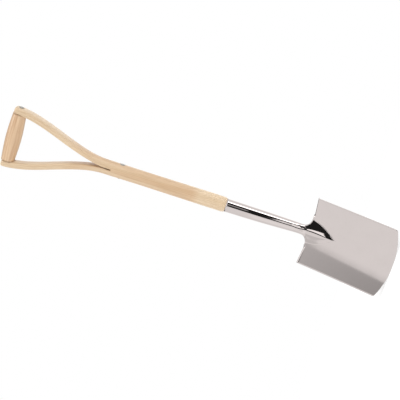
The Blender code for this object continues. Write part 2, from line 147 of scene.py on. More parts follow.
# Fastenings, which keep the frame's own steel
FASTENING_SLOT = "rivet_steel"
ROD_RADIUS = 3.0 * MM
ROD_HEAD_RADIUS = 4.8 * MM
ROD_HEAD_HEIGHT = 1.9 * MM
WASHER_RADIUS = 6.6 * MM
WASHER_THICKNESS = 1.2 * MM
WASHER_EDGE = 0.3 * MM
SPOT_FACE_RADIUS = 7.2 * MM
SPOT_FACE_REACH = 9.0 * MM
BORE_REACH = 100.0 * MM
GRIP_WASHER_X = 81.0 * MM
THROAT_WASHER_X = 17.1 * MM
SOCKET_RIVET_Z = MOUTH_Z - 42.0 * MM
SOCKET_RIVET_RADIUS = 2.4 * MM
SOCKET_RIVET_HEAD = 4.8 * MM
SOCKET_RIVET_LENGTH = 24.0 * MM
SOCKET_RIVET_POINT = 3.0 * MM
SOCKET_BORE_END = -8.0 * MM
SOCKET_BORE_START = 40.0 * MM
SOCKET_WALL_FRONT = 5.0 * MM
GAP = 0.3 * MM

# Meshes: angles in degrees above which an edge is sharp, the welding cells, and counts
SHARP_FLAT = 30.0
SHARP_ROUND = 40.0
SHARP_SHEET = 50.0
WELD = 0.001 * MM
WELD_OFFSET = 0.37
ARC_COLUMNS = 49
SAWN_ACROSS = np.linspace(1.0, -1.0, 18)[1:-1]
TAIL_ROWS = 20
SHOULDER_ROWS = 9
SHAFT_ROWS = 60
ARM_ROWS = 110
END_ROWS = 12
FROG_COLUMNS = 24
CREST_CROWDING = 1.6
WING_COLUMNS = 28
TREAD_BEND_STEPS = 8
TREAD_LEDGE_STEPS = 4
SOCKET_ROWS = 48
SLOT_ROWS = 24
FILLET_ROWS = 24
TREAD_ROWS = 48
SIDE_ROWS = 54
GROUND_ROWS = 8
ROUND_STEPS = 64
GRIP_STEPS = 96
GRIP_ROWS = 61
CORNER_ROWS = 6
DOME_STEPS = 10

# Camera: fitted to the photograph's outlines
CAMERA_AZIMUTH = math.radians(17.82)
CAMERA_ELEVATION = math.radians(-0.144)
CAMERA_ROLL = math.radians(17.798)
CAMERA_DISTANCE = 3.3742
CAMERA_TARGET = (-0.00866, 0.00032, MOUTH_Z + 0.0675)
CAMERA_LENS = 117.0
CAMERA_SENSOR = 36.0

# Wood patterns: stretch in steps per metre, detail, roughness, and the levels they lie between
WOOD_PATTERNS = {
    "pores": ((1300.0, 1300.0, 22.0), 2.0, 0.6, (0.54, 0.68)),
    "fibre": ((420.0, 420.0, 7.0), 3.0, 0.6, (0.35, 0.70)),
    "streak": ((150.0, 150.0, 9.0), 2.0, 0.5, (0.46, 0.70)),
    "soft": ((75.0, 75.0, 3.0), 2.0, 0.5, (0.35, 0.62)),
    "slow": ((26.0, 26.0, 4.0), 2.0, 0.5, (0.30, 0.70)),
}
# How far each pattern moves the wood from its light colour to its dark one
WOOD_TONES = {"early": 0.38, "fibre": 0.28, "slow": 0.20, "streak": 0.50, "pores": 0.25}
PITH = (-31.0 * MM, -52.0 * MM)
RING_DRIFT = 11.0 * MM
RING_DRIFT_SCALE = (9.0, 9.0, 2.2)
RING_DRIFT_DETAIL = 3.0
EARLY_START = (0.0, 0.12)
EARLY_END = (0.72, 0.2)
LATE_PORES = 0.2
WARM_EVERYWHERE = 0.45
WARM_STREAKS = 0.75
WARM_TINT = (0.87, 0.775, 0.70, 1.0)
# Brown of the stains at the kerf's end and the grip's joints. It also paints the shade in that
# slit and those joints.
STAIN_AND_SHADE_COLOR = (0.27, 0.145, 0.055, 1.0)
STAIN_AND_SHADE_ROUGHNESS = 0.3
PORE_ROUGHNESS = 0.18
FIBRE_HEIGHT = 0.25
WOOD_ROUGHNESS = 0.42
WOOD_IOR = 1.45
VARNISH_IOR = 1.48
WOOD_BUMP = (0.12, 0.4 * MM)
ASH_FINISH = {"contrast": 0.5, "rings": 1.3, "coat": 0.5, "coat_roughness": 0.38}
GRIP_FINISH = {"contrast": 0.6, "rings": 2.2, "coat": 1.0, "coat_roughness": 0.28}

# Zones of the wood: an amount, and smooth steps of a measure, 0 at one level and 1 at the next
ASH_WARMTH = 0.12
WARM_ZONE = (0.88, ("z", MOUTH_Z + 68.0 * MM, MOUTH_Z + 98.0 * MM),
             ("z", MOUTH_Z + 455.0 * MM, MOUTH_Z + 395.0 * MM))
# Darkened brown at the kerf's end and round the grip's seats: partly stain, partly painted shade
# in the slit and the joints
KERF_STAIN_AND_SHADE = (0.9, ("side", 2.6 * MM, 1.3 * MM), ("z", KERF_Z + 20.0 * MM, KERF_Z + 8.0 * MM),
              ("z", KERF_Z - 3.0 * MM, KERF_Z - 0.5 * MM))
SEAT_STAIN_AND_SHADE = (0.4, ("ring", 22.0 * MM, 18.4 * MM), ("side", 7.0 * MM, 3.0 * MM))
GRIP_WARMTH = 0.5
# The grip's ends are darkened brown: partly stain, partly painted shade in the joint with the arms
GRIP_END_STAIN_AND_SHADE = (0.45, ("end", GRIP_SEAT_X - 5.0 * MM, GRIP_SEAT_X - 0.5 * MM))

# Steel: its fine marks, cloudiness and waviness
MARK_SCALE = (900.0, 900.0, 18.0)
MARK_DETAIL = (3.0, 0.65)
MARK_LEVELS = (0.42, 0.72)
MARK_HEIGHT = 0.04
CLOUD_SCALE = 24.0
CLOUD_DETAIL = (4.0, 0.6)
CLOUD_ROUGHNESS = (0.40, 0.75)
CLOUD_DULLNESS = (0.30, 0.80)
WAVE_SCALE = 9.0
DULL_TINT = (0.57, 0.56, 0.54, 1.0)
POLISH = {"Roughness": 0.03, "Marks": 0.015, "Dull": 0.06}
POLISH_BUMP = (0.12, 0.5 * MM)

# Floor: a light table, whose glow softens the shadow on it
FLOOR_DROP = 0.1 * MM
FLOOR_ROUGHNESS = 0.9
FLOOR_SHADE = 0.5
FLOOR_GLOW = 0.66

# Studio: brightness by bearing, in degrees round from the front, before it gets its strength
STUDIO_STRENGTH = 2.5
SIDE_LIGHT = ((-180.0, 0.60), (-150.0, 0.56), (-120.0, 0.50), (-95.0, 0.47), (-60.0, 0.50),
              (55.0, 0.50), (70.0, 0.80), (87.0, 0.80), (93.0, 0.56), (112.0, 0.48),
              (126.0, 0.46), (142.0, 0.50), (160.0, 0.60), (180.0, 0.60))

# The dark panel: where it starts by bearing, how its far edge leans with height, and its gaps.
# These zones, and those below, are laid out as the wood's are, in degrees.
PANEL_START = 4.3
PANEL_STEP = 2.0
PANEL_LEAN = 1.7
PANEL_EDGES = (("lean", 75.5, 72.5), ("height", 22.0, 16.0), ("height", -20.0, -17.0))
PANEL_LIGHT = 0.009
PANEL_LEVEL = (-1.2, 0.2)
PANEL_FOOT = (-9.2, -10.6)
PANEL_GAPS = (
    (0.66, ("bearing", 11.0, 13.0), ("bearing", 23.3, 22.1), ("height", -0.2, 0.8)),
    (0.17, ("bearing", 25.0, 31.0), ("bearing", 48.0, 42.0), ("height", -4.4, -3.4),
     ("height", -0.6, -1.2)),
    (0.62, ("bearing", 21.0, 25.0), ("bearing", 62.0, 56.0), ("height", *PANEL_FOOT)),
)

# The grey panel: the height it is set out from, how its edge tilts and turns, and its two tones
GREY_HEIGHT = 25.0
GREY_TILT = -0.28
GREY_CORNER = 4.0
GREY_CORNER_EDGE = (-20.0, -18.5)
GREY_OUTER = (0.13, ("tilt", -18.2, -16.7))
GREY_INNER_EDGE = ("tilt", -16.75, -16.45)
GREY_INNER_TONE = 0.27
GREY_INNER_RISE = 0.08
GREY_EDGES = (("bearing", -5.0, -9.0), ("height", 12.0, 18.0), ("height", 62.0, 50.0))

# Faint panels at the front, dimmer light further round, and brighter light
FLANK_SLOPE = 3.0
FAINT_PANELS = (
    (0.22, ("bearing", -46.0, -51.0), ("slope", -60.0, -56.0), ("height", -2.0, -0.8),
     ("height", 12.0, 8.0)),
    (-0.10, ("bearing", -4.0, -12.0), ("bearing", -70.0, -60.0), ("height", -4.0, -6.0)),
)
CAMERA_BEARING = 17.8
BEHIND = ("turned", 85.0, 120.0)
ABOVE = ("height", 8.0, 18.0)
BELOW = ("height", -8.0, -18.0)
LEFT = ("bearing", 10.0, -10.0)
DIMMER = (
    (0.35, BEHIND, ABOVE),
    (0.40, BEHIND, ABOVE, LEFT),
    (0.70, BEHIND, BELOW),
    (-0.20, BEHIND, BELOW, LEFT),
    (0.25, ("height", -12.0, -35.0)),
    (0.42, ("bearing", 56.0, 70.0), ("bearing", 108.0, 96.0), ("steep", 10.0, 18.0)),
)
BRIGHTER = (
    (1.6, ("bearing", 70.0, 74.0), ("bearing", 88.0, 84.0), ("steep", 16.0, 9.0)),
    (1.5, ("height", 64.0, 74.0)),
)


class SpadeSizes(bpy.types.PropertyGroup):
    """Sizes that can be changed without leaving the solids of the frame."""

    ring_spacing: bpy.props.FloatProperty(
        name="Ring spacing", description="Distance between two growth rings of the ash",
        default=2.6 * MM, min=0.5 * MM, max=10.0 * MM, unit="LENGTH", precision=4)
    floor_width: bpy.props.FloatProperty(
        name="Floor width", description="Width of the pale floor under the spade",
        default=1.6, min=1.0, max=40.0, unit="LENGTH")


def color_property(name, description, default):
    return bpy.props.FloatVectorProperty(name=name, description=description, default=default,
                                         size=3, min=0.0, max=1.0, subtype="COLOR")


class SpadeColors(bpy.types.PropertyGroup):
    """Colours of the finishes."""

    ash_light: color_property(
        "Ash, light", "Colour of the shaft's late wood", (0.76, 0.595, 0.405))
    ash_dark: color_property(
        "Ash, dark", "Colour of the shaft's early wood and pores", (0.545, 0.365, 0.20))
    grip_light: color_property(
        "Grip, light", "Colour of the grip's late wood", (0.78, 0.57, 0.36))
    grip_dark: color_property(
        "Grip, dark", "Colour of the grip's early wood and pores", (0.50, 0.285, 0.145))
    steel: color_property(
        "Polished steel", "Colour of the head's polished stainless steel", (0.525, 0.478, 0.465))
    floor: color_property("Floor", "Colour of the pale floor", (0.93, 0.93, 0.93))


# Surfaces

def smooth(value):
    """Three times the square less twice the cube of the value, held between 0 and 1."""
    t = np.clip(value, 0.0, 1.0)
    return t * t * (3.0 - 2.0 * t)


def steps(count, end=1.0):
    """Equal steps from 0 to the end, without the 0."""
    return np.linspace(0.0, end, count + 1)[1:]


def columns(*arrays):
    """Arrays of numbers, spread to one shape, as the columns of a new last axis."""
    return np.stack(np.broadcast_arrays(*arrays), axis=-1)


def grid(points, around=False):
    """Rows and columns of points as one list, and the numbers of each quad's corners.

    A quad joins a point to the next one in its row and to the two below them. Around joins
    the last column to the first.
    """
    shape = points.shape[:2]
    number = np.arange(math.prod(shape)).reshape(shape)
    ahead = np.roll(number, -1, axis=1)
    quads = columns(number[:-1], ahead[:-1], ahead[1:], number[1:])
    if not around:
        quads = quads[:, :-1]
    return points.reshape(-1, 3), quads.reshape(-1, 4)


def mirrored(surface):
    """The surface with x negated and each quad's corners in the opposite order."""
    points, quads = surface
    return points * (-1.0, 1.0, 1.0), quads[:, ::-1]


def joined(*surfaces):
    """Several surfaces as one, each one's corner numbers moved past the points before it."""
    counts = [len(points) for points, quads in surfaces]
    starts = np.cumsum([0] + counts[:-1])
    points = np.concatenate([points for points, quads in surfaces])
    quads = np.concatenate([quads + start for (points, quads), start in zip(surfaces, starts)])
    return points, quads


def welded(surface):
    """The surface with points of one place merged, as points, quads and triangles.

    Points are of one place when they fall in one welding cell, and the cells are offset so
    that round numbers lie inside them. A quad with one repeated corner becomes a triangle,
    and one with two is dropped.
    """
    points, quads = surface
    places = np.floor(points / WELD + WELD_OFFSET).astype(np.int64)
    first, number = np.unique(places, axis=0, return_index=True, return_inverse=True)[1:]
    quads = number.reshape(-1)[quads]
    repeated = quads == np.roll(quads, -1, axis=1)
    count = repeated.sum(axis=1)
    pinched = quads[count == 1]
    picks = (repeated[count == 1].argmax(axis=1)[:, None] + np.arange(1, 4)) % 4
    return points[first], quads[count == 0], np.take_along_axis(pinched, picks, axis=1)


def mend(mesh, mending):
    """Open a mesh in bmesh, mend it and write it back."""
    bm = bmesh.new()
    bm.from_mesh(mesh)
    mending(bm)
    bm.to_mesh(mesh)
    bm.free()


def mesh_from_surface(name, surface, sharp_angle, closed=True):
    """A smooth-shaded mesh of the welded surface, turned outwards where it is closed."""
    points, quads, triangles = welded(surface)
    mesh = bpy.data.meshes.new(name)
    mesh.from_pydata(points, [], quads.tolist() + triangles.tolist())
    if closed:
        mend(mesh, lambda bm: bmesh.ops.recalc_face_normals(bm, faces=bm.faces))
    mesh.shade_smooth()
    mesh.set_sharp_from_angle(angle=math.radians(sharp_angle))
    return mesh


def new_object(name, data):
    """An object of the scene, at the origin."""
    item = bpy.data.objects.new(name, data)
    bpy.context.scene.collection.objects.link(item)
    return item


def new_piece(name, surface, sharp_angle, material, node, closed=True):
    """Put a surface in the scene as the piece that takes the place of a node of the frame."""
    mesh = mesh_from_surface(name, surface, sharp_angle, closed)
    mesh.materials.append(material)
    piece = new_object(name, mesh)
    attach(piece, "root")
    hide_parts(node)
    return piece


def turned(profile, axis, center_z, count=ROUND_STEPS):
    """An outline turned about a level axis.

    A point of the outline is (distance along the axis, radius). It goes round a full circle
    of that radius in the plane square to the axis.
    """
    along, radius = np.array(profile).T[..., None]
    angle = np.arange(count) * (2.0 * math.pi / count)
    level, z = radius * np.cos(angle), radius * np.sin(angle) + center_z
    points = columns(along, level, z) if axis == "X" else columns(level, along, z)
    return grid(points, around=True)


def carve(piece, cutters):
    """Take a surface's volume out of a piece's mesh, merge its slivers, and keep the result."""
    mesh = mesh_from_surface(piece.name + "_cutter", cutters, SHARP_FLAT)
    cutter = new_object(mesh.name, mesh)
    boolean = piece.modifiers.new("carve", "BOOLEAN")
    boolean.operation = "DIFFERENCE"
    boolean.object = cutter
    depsgraph = bpy.context.evaluated_depsgraph_get()
    carved = bpy.data.meshes.new_from_object(piece.evaluated_get(depsgraph), depsgraph=depsgraph)
    piece.modifiers.remove(boolean)
    mend(carved, lambda bm: bmesh.ops.remove_doubles(bm, verts=bm.verts, dist=WELD))
    old = piece.data
    carved.name = old.name + "_carved"
    piece.data = carved
    bpy.data.meshes.remove(old)
    bpy.data.objects.remove(cutter)
    bpy.data.meshes.remove(mesh)


def cylinder(radius, start, end, axis, center_z, count=ROUND_STEPS):
    """A closed cylinder about a level axis, turned from a rectangle's outline."""
    outline = [(start, 0.0), (start, radius), (end, radius), (end, 0.0)]
    return turned(outline, axis, center_z, count)


def mesh_places(mesh):
    """Every point of a mesh, as rows of x, y and z."""
    places = np.empty(len(mesh.vertices) * 3)
    mesh.vertices.foreach_get("co", places)
    return places.reshape(-1, 3)


# Shaft

def shaft_radius(z):
    """Radius of the round shaft: a table of heights, less a parabola at the socket's mouth."""
    height = z - MOUTH_Z
    radius = np.interp(height, SHAFT_HEIGHTS, SHAFT_RADII)
    lean = np.clip(1.0 - height / SHOULDER_HEIGHT, 0.0, 1.0)
    return radius - (SHAFT_RADII[0] - SHOULDER_RADIUS) * lean ** 2


def socket_radius(z):
    """Outside radius of the socket: a quartic of the depth under its mouth."""
    depth = np.maximum(MOUTH_Z - z, 0.0) / SOCKET_TAPER_LENGTH
    return np.polyval(SOCKET_TAPER, depth) * MM


def socket_center(z):
    """How far the socket's middle stands back: a smooth step from under the mouth to the blade."""
    run = BLADE_TOP_Z - (MOUTH_Z - SOCKET_STRAIGHT)
    return SOCKET_SETBACK * smooth((z - (MOUTH_Z - SOCKET_STRAIGHT)) / run)


def arm_center(z):
    """Distance of an arm's middle from the shaft's axis: one smooth step up the bend."""
    sawn_center = (shaft_radius(KERF_Z) + KERF_HALF) / 2
    return sawn_center + ARM_SPREAD * smooth((z - ARM_BEND_START) / ARM_BEND_LENGTH)


def signed_power(value, power):
    return np.sign(value) * np.abs(value) ** power


def arm_surface():
    """The right arm, a closed loop carried up the bend.

    The loop starts as half of the round shaft with its sawn face, and passes over the
    rounding length into a superellipse about the arm's middle. At the top it shrinks on a
    quarter circle, and then to a point.
    """
    turn = steps(END_ROWS, math.pi / 2)
    heights = np.linspace(KERF_Z, ARM_TOP_Z - ARM_END_ROUND, ARM_ROWS)
    z = np.concatenate((heights, ARM_TOP_Z - ARM_END_ROUND * (1.0 - np.sin(turn)),
                        np.full(len(ARM_END_RINGS), ARM_TOP_Z)))
    shrink = np.concatenate((np.ones(ARM_ROWS), 1.0 - ARM_END_SHRINK * (1.0 - np.cos(turn)),
                             (1.0 - ARM_END_SHRINK) * np.array(ARM_END_RINGS)))
    z, shrink = z[:, None], shrink[:, None]
    outer = np.linspace(-1.0, 1.0, ARC_COLUMNS)
    radius, center = shaft_radius(z), arm_center(z)
    kerf_angle = np.arccos(KERF_HALF / radius)
    shift = center - (radius + KERF_HALF) / 2
    disc_x = np.concatenate((radius * np.cos(outer * kerf_angle) + shift,
                             np.repeat(KERF_HALF + shift, len(SAWN_ACROSS), axis=1)), axis=1)
    disc_y = np.concatenate((radius * np.sin(outer * kerf_angle),
                             radius * np.sin(kerf_angle) * SAWN_ACROSS), axis=1)
    angle = np.concatenate((outer * ARM_OUTER_WRAP, math.pi - SAWN_ACROSS * ARM_INNER_WRAP))
    depth = ARM_HALF_DEPTH + (ARM_END_HALF_DEPTH - ARM_HALF_DEPTH) * smooth(
        (z - KERF_Z) / (ARM_TOP_Z - KERF_Z))
    power = 2.0 / ARM_SQUARENESS
    round_x = center + ARM_HALF_THICKNESS * signed_power(np.cos(angle), power)
    round_y = depth * signed_power(np.sin(angle), power)
    rounding = smooth((z - KERF_Z) / ARM_ROUNDING_LENGTH)
    x = disc_x + (round_x - disc_x) * rounding
    y = disc_y + (round_y - disc_y) * rounding
    x = center + (x - center) * shrink
    return grid(columns(x, y * shrink, z), around=True)


def pole_surface():
    """The right half of the pole, from its tail in the socket up to the saw kerf.

    Round the socket's inside up to the mouth, then the shaft's own radius, in rings that run
    from the front line over the side to the back line. The kerf's floor joins them to the arm.
    """
    mouth = MOUTH_Z + GAP
    tail = np.linspace(TAIL_Z, mouth, TAIL_ROWS)
    turn = np.linspace(0.0, math.pi / 2, SHOULDER_ROWS)
    shoulder = mouth + SHOULDER_HEIGHT * (1.0 - np.cos(turn))
    above = np.linspace(mouth + SHOULDER_HEIGHT, KERF_Z, SHAFT_ROWS)[1:]
    z = np.concatenate((tail, shoulder, above))[:, None]
    inside = np.arange(len(z))[:, None] < len(tail)
    radius = np.where(inside, socket_radius(z) - SHEET - GAP, shaft_radius(z - GAP))
    radius[-1] = shaft_radius(KERF_Z)
    back = np.where(inside, socket_center(z), 0.0)
    kerf_angle = np.arccos(KERF_HALF / radius)
    edge = np.full_like(radius, math.pi / 2)
    arc = np.linspace(-1.0, 1.0, ARC_COLUMNS) * kerf_angle
    angle = np.concatenate((-edge, arc, edge), axis=1)
    x = radius * np.cos(angle)
    x[:, [0, -1]] = 0.0
    y = back + radius * np.sin(angle)
    points = columns(x, y, z)
    end = np.stack((points[0] * (0.0, 1.0, 1.0), points[0]))
    ring = points[-1]
    sawn_y = shaft_radius(KERF_Z) * math.sin(kerf_angle[-1, 0]) * SAWN_ACROSS
    middle = columns(0.0, sawn_y, KERF_Z)
    line = np.concatenate((ring[-1:], middle, ring[:1]))
    sawn = np.concatenate((ring[-2:-1], middle + (KERF_HALF, 0.0, 0.0), ring[1:2]))
    return joined(grid(end), grid(points), grid(np.stack((line, sawn))))


def grain_of_shaft(mesh):
    """Store where each point lay in the pole before its arms were bent.

    The x of a point in an arm is moved back by how far the arm's middle has moved out there.
    """
    places = mesh_places(mesh)
    z = places[:, 2]
    moved = np.where(z > KERF_Z, arm_center(z) - arm_center(KERF_Z), 0.0)
    places[:, 0] -= np.sign(places[:, 0]) * moved
    store_grain(mesh, places)


def store_grain(mesh, places):
    """Keep the places as an attribute that the wood's patterns are read at."""
    grain = mesh.attributes.new("grain", "FLOAT_VECTOR", "POINT")
    grain.data.foreach_set("vector", places.astype(np.float32).reshape(-1))


class SPADE_OT_shaft(bpy.types.Operator):
    """Build the pole, its two bent arms and the pockets for the grip and the washers"""

    bl_idname = "spade.shaft"
    bl_label = "Shaft"

    def execute(self, context):
        half = joined(pole_surface(), arm_surface())
        material = wood_material(context, "ash", ash_masks, **ASH_FINISH)
        piece = new_piece("ash_shaft", joined(half, mirrored(half)), SHARP_ROUND, material,
                          "shaft")
        pockets = [cylinder(GRIP_END_RADIUS + GAP, -GRIP_SEAT_X, GRIP_SEAT_X, "X", GRIP_Z,
                            GRIP_STEPS)]
        for near, height in ((GRIP_WASHER_X, GRIP_Z), (THROAT_WASHER_X, THROAT_Z)):
            spot = cylinder(SPOT_FACE_RADIUS, near, near + SPOT_FACE_REACH, "X", height)
            pockets += [spot, mirrored(spot)]
        carve(piece, joined(*pockets))
        bores = [cylinder(ROD_RADIUS + GAP, -BORE_REACH, BORE_REACH, "X", height)
                 for height in (GRIP_Z, THROAT_Z)]
        bores.append(cylinder(SOCKET_RIVET_RADIUS + GAP, SOCKET_BORE_END, SOCKET_BORE_START,
                              "Y", SOCKET_RIVET_Z))
        carve(piece, joined(*bores))
        grain_of_shaft(piece.data)
        return {"FINISHED"}


# Grip

def grip_outline():
    """Half outline of the barrel, bored for its rod.

    The radius is the end radius plus a quarter cosine of the swell, straight over the stubs,
    with a rounded corner at each end.
    """
    end_x = GRIP_SEAT_X - GAP
    x = np.linspace(-end_x + GRIP_END_CHAMFER, end_x - GRIP_END_CHAMFER, GRIP_ROWS)
    reach = np.minimum(np.abs(x) / (end_x - GRIP_STUB), 1.0)
    swell = (GRIP_MID_RADIUS - GRIP_END_RADIUS) * np.cos(reach * math.pi / 2)
    turn = steps(CORNER_ROWS, math.pi / 2)
    corner = columns(end_x - GRIP_END_CHAMFER * (1.0 - np.sin(turn)),
                     GRIP_END_RADIUS - GRIP_END_CHAMFER * (1.0 - np.cos(turn)))
    bore = np.array(((end_x, GRIP_BORE_RADIUS), (-end_x, GRIP_BORE_RADIUS)))
    left = corner[::-1] * (-1.0, 1.0)
    return np.concatenate((left, columns(x, GRIP_END_RADIUS + swell), corner, bore, left[:1]))


class SPADE_OT_grip(bpy.types.Operator):
    """Turn the wooden barrel between the arms, its grain along it"""

    bl_idname = "spade.grip"
    bl_label = "Grip"

    def execute(self, context):
        barrel = turned(grip_outline(), "X", GRIP_Z, GRIP_STEPS)
        material = wood_material(context, "grip", grip_masks, **GRIP_FINISH)
        piece = new_piece("turned_grip", barrel, SHARP_FLAT, material, "grip")
        x, y, z = mesh_places(piece.data).T
        store_grain(piece.data, columns(z - GRIP_Z, y, x))
        return {"FINISHED"}


# Head

def blade_place(x, along, out):
    """Points given across the blade, down its face and out of it, leaned forward by the lift."""
    y = BLADE_SETBACK - along * math.sin(LIFT) - out * math.cos(LIFT)
    z = BLADE_TOP_Z - along * math.cos(LIFT) + out * math.sin(LIFT)
    return columns(x, y, z)


def frog_half(along):
    """Half-width of the frog's foot: full at the shoulders, less a power of the way down."""
    return FROG_HALF * (1.0 - np.clip(along / FROG_LENGTH, 0.0, 1.0) ** FROG_POWER)


def sheet_height(x, along):
    """How far the front stands out.

    A parabola across for the dish, less a parabola down for the bow, plus the frog: a crest
    falling to its point in a straight line with a slight swell, and its flanks a rounded V, a
    hyperbola from crest to foot.
    """
    run = np.clip(along / BLADE_LENGTH, 0.0, 1.0)
    base = DISH * (x / BLADE_TOP_HALF) ** 2 - BOW * 4.0 * run * (1.0 - run)
    half = np.maximum(frog_half(along), WELD)
    fraction = np.clip(along / FROG_LENGTH, 0.0, 1.0)
    rise = np.maximum(1.0 - along / FROG_LENGTH, 0.0)
    rise = rise + FROG_SWELL * fraction ** 2 * (1.0 - fraction)
    more_round = FROG_SHOULDER_ROUND - FROG_POINT_ROUND
    roundness = FROG_POINT_ROUND + more_round * np.minimum(rise, 1.0)
    fall = (np.hypot(x / half, roundness) - roundness) / (np.hypot(1.0, roundness) - roundness)
    return base + np.where(np.abs(x) < half, FROG_HEIGHT * rise * (1.0 - fall), 0.0)


def side_half(along):
    """Half-width of the blade: a straight line from its top to its cutting edge."""
    run = np.clip(along / BLADE_LENGTH, 0.0, 1.0)
    return BLADE_TOP_HALF + (BLADE_EDGE_HALF - BLADE_TOP_HALF) * run


def tread_profile(edge_x):
    """Rise and set-back of the turned-over edge, one row per place along it.

    A quarter bend of growing angle, then a straight ledge in the bend's last direction.
    """
    fade = smooth((edge_x - FILLET_X) / TREAD_FADE)[:, None]
    step = np.linspace(0.0, 1.0, TREAD_BEND_STEPS + 1)
    angle = TREAD_ANGLE * fade * step
    up, back = TREAD_BEND * np.sin(angle), TREAD_BEND * (1.0 - np.cos(angle))
    ledge = TREAD_LEDGE * fade * steps(TREAD_LEDGE_STEPS)
    up = np.concatenate((up, up[:, -1:] + ledge * np.cos(angle[:, -1:])), axis=1)
    back = np.concatenate((back, back[:, -1:] + ledge * np.sin(angle[:, -1:])), axis=1)
    return up, back


def head_rows():
    """Rows of the half sheet, from the socket's mouth to the cutting edge.

    Each has its middle's distance down, its outer end across and down, how far round the
    socket it wraps, and how much of it has left the socket for the sheet.
    """
    socket_top = BLADE_TOP_Z - MOUTH_Z
    slot = -BACK_SLOT
    t = np.linspace(0.0, 1.0, SOCKET_ROWS)
    parts = [(socket_top + (slot - socket_top) * t, 0.0, 0.0, math.pi, 0.0)]
    t = steps(SLOT_ROWS)
    along = slot + (BACK_SLOT - SHOULDER_FILLET) * t
    parts.append((along, NECK_HALF, along, math.pi * (1.0 - t ** SLOT_POWER / 2),
                  NECK_BLEND * smooth(t)))
    t = steps(FILLET_ROWS)
    turn = t * math.pi / 2
    parts.append((-SHOULDER_FILLET + (FILLET_CENTER + SHOULDER_FILLET) * t,
                  NECK_HALF + SHOULDER_FILLET * (1.0 - np.cos(turn)),
                  -SHOULDER_FILLET * (1.0 - np.sin(turn)),
                  math.pi / 2, NECK_BLEND + (1.0 - NECK_BLEND) * smooth(t)))
    t = steps(TREAD_ROWS)
    edge_x = FILLET_X + (BLADE_TOP_HALF - FILLET_X) * t
    level = DISH * (edge_x / BLADE_TOP_HALF) ** 2 * math.tan(LIFT)
    edge = tread_profile(edge_x)[0][:, -1] + level - SHOULDER_RISE * (edge_x - FILLET_X)
    parts.append((FILLET_CENTER + (TREAD_CENTER - FILLET_CENTER) * t, edge_x, edge, 0.0, 1.0))
    end = BLADE_LENGTH - EDGE_SAG
    t = steps(SIDE_ROWS)
    side = edge[-1] + (end - EDGE_CORNER - edge[-1]) * t
    parts.append((TREAD_CENTER + (BLADE_LENGTH - GROUND_EDGE - TREAD_CENTER) * t,
                  side_half(side), side, 0.0, 1.0))
    turn = steps(GROUND_ROWS, math.pi / 2)
    parts.append((BLADE_LENGTH - GROUND_EDGE * (1.0 - np.sin(turn)),
                  side_half(end) - EDGE_CORNER * (1.0 - np.cos(turn)),
                  end - EDGE_CORNER + (EDGE_CORNER + CORNER_DROP) * np.sin(turn), 0.0, 1.0))
    return np.concatenate([columns(*part) for part in parts])


def head_surface():
    """The front of the whole sheet, left edge to right edge, with both turned-over treads.

    Each row starts on the middle line. Its inner columns lie on the frog, and its outer ones
    drop from its middle's distance to its end's. A point is a mix of the blade's sheet with
    the socket's circle at that height, and the mix grows later on the crest than at the ends.
    """
    center, edge_x, edge_along, wrap, blend = [column[:, None] for column in head_rows().T]
    knee = np.minimum(np.maximum(frog_half(center), KNEE_LEAST), KNEE_MOST * edge_x)
    inner = np.linspace(0.0, 1.0, FROG_COLUMNS + 1) ** CREST_CROWDING
    reach = steps(WING_COLUMNS)
    drop = np.where(wrap > 0.0, 1.0 - (1.0 - reach) ** 2, reach ** 2)
    x = np.concatenate((knee * inner, knee + (edge_x - knee) * reach), axis=1)
    along = np.concatenate((center + 0.0 * inner, center + (edge_along - center) * drop), axis=1)
    sheet = blade_place(x, along, sheet_height(x, along))
    z = BLADE_TOP_Z - center
    angle = wrap * np.linspace(0.0, 1.0, x.shape[1])
    radius = socket_radius(z)
    tube = columns(radius * np.sin(angle), socket_center(z) - radius * np.cos(angle), z)
    crest = smooth(((center + BACK_SLOT) / (BACK_SLOT + FILLET_CENTER)).clip(0.0, 1.0) ** 2)
    inward = (1.0 - np.linspace(0.0, 1.0, x.shape[1])) ** 2
    blend = blend + (crest - blend) * inward
    points = tube + (sheet - tube) * blend[..., None]
    points[:, 0, 0] = 0.0
    points[:SOCKET_ROWS, -1, 0] = 0.0
    whole = np.concatenate((points[:, :0:-1], points * (-1.0, 1.0, 1.0)), axis=1)
    first = SOCKET_ROWS + SLOT_ROWS + FILLET_ROWS
    edge_x = edge_x[first:first + TREAD_ROWS]
    edge_along = edge_along[first:first + TREAD_ROWS]
    up, back = tread_profile(edge_x[:, 0])
    tread = blade_place(edge_x, edge_along - up, sheet_height(edge_x, edge_along) - back)
    start = np.repeat(points[first - 1, -1][None, None], tread.shape[1], axis=1)
    ledge = grid(np.concatenate((start, tread))[:, ::-1])
    return joined(grid(whole), ledge, mirrored(ledge))


def ground_weight(mesh):
    """Thickness of the sheet at each point, as a share that falls towards the cutting edge.

    The edge's distance down is the blade's length less the sag times the square of the way
    from the knee to the corner. The share falls in a straight line over the ground width.
    """
    x, y, z = mesh_places(mesh).T
    along = -(y - BLADE_SETBACK) * math.sin(LIFT) - (z - BLADE_TOP_Z) * math.cos(LIFT)
    end = BLADE_LENGTH - EDGE_SAG
    width = side_half(end) - EDGE_CORNER - KNEE_LEAST
    reach = np.clip((np.abs(x) - KNEE_LEAST) / width, 0.0, 1.0)
    edge = BLADE_LENGTH - (EDGE_SAG - CORNER_DROP) * reach ** 2
    full = np.clip((edge - along) / GROUND_EDGE, 0.0, 1.0)
    return GROUND_THICKNESS + (1.0 - GROUND_THICKNESS) * full


